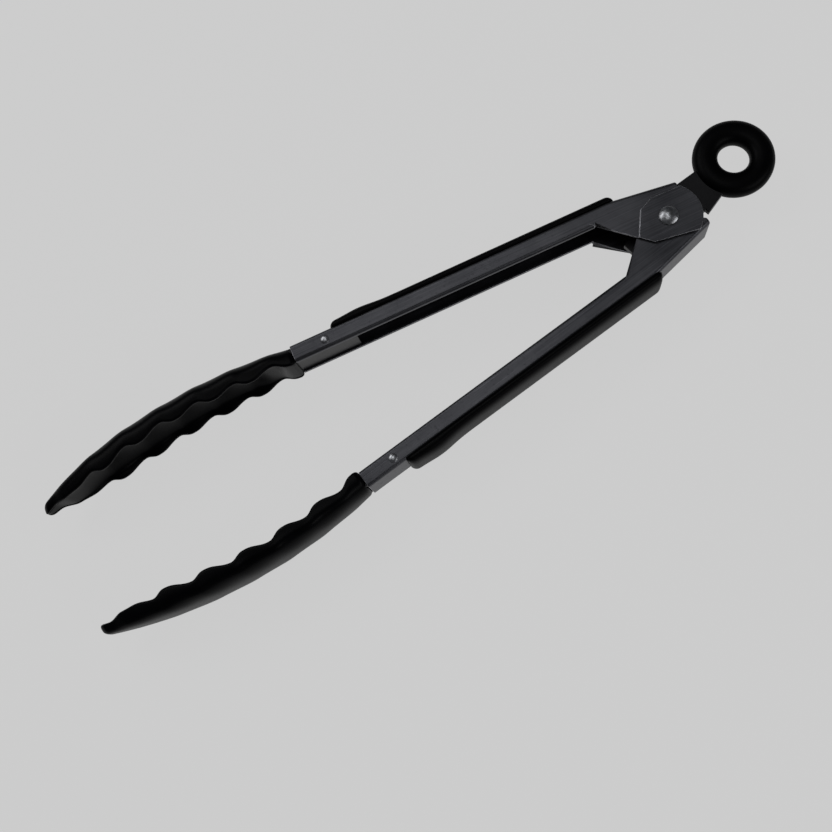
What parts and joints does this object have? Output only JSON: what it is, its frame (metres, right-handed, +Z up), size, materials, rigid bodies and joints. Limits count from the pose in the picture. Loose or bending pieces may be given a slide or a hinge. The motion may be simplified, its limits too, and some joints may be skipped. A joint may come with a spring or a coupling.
{
  "type": "spring loaded kitchen tongs",
  "caption": "Long channel-arm kitchen tongs with a spring hinge, a sliding lock tab with a hanging ring, soft grips and curved scalloped heads.",
  "frame": {"origin": "middle of the bounding box at its lowest plane, with the tongs lying on their side", "axes": "+Z up along the pivot axis, +X towards the hanging ring, +Y towards the outer arm"},
  "size_m": [0.3486, 0.084, 0.0296],
  "materials": {
    "steel": "brushed along the arm",
    "bright_steel": "tumbled bright",
    "spring_steel": "drawn wire",
    "black_nylon": "satin moulded",
    "black_rubber": "soft satin",
    "black_silicone": "satin silicone"
  },
  "bodies": {
    "inner_arm_body": {"inner_arm": "steel", "pivot_rivet": "bright_steel", "tab_spacer": "black_nylon", "spring_washer": "bright_steel", "torsion_spring": "spring_steel", "inner_grip": "black_rubber", "inner_head_core": "black_nylon", "inner_head_cover": "black_silicone", "inner_head_rivet": "bright_steel"},
    "outer_arm_body": {"outer_arm": "steel", "outer_grip": "black_rubber", "outer_head_core": "black_nylon", "outer_head_cover": "black_silicone", "outer_head_rivet": "bright_steel"},
    "tab_guide": {"pivot_sleeve": "bright_steel"},
    "lock_body": {"lock_tab": "black_nylon", "pull_ring": "black_rubber"}
  },
  "joints": [
    {"name": "arm_hinge", "type": "hinge", "parent": "inner_arm_body", "child": "outer_arm_body", "pos_m": [0.11649, 0, 0.0148], "axis": [0, 0, 1], "range_deg": [0, 10], "stiffness_Nm_per_rad": 2, "springref_deg": -8.59, "deforming": ["torsion_spring"]},
    {"name": "tab_swing", "type": "hinge", "parent": "inner_arm_body", "child": "tab_guide", "pos_m": [0.11649, 0, 0.0148], "axis": [0, 0, 1], "range_deg": [-24, 0]},
    {"name": "tab_slide", "type": "slide", "parent": "tab_guide", "child": "lock_body", "axis": [0.9681, 0.2504, 0], "range_m": [0, 0.007]}
  ]
}
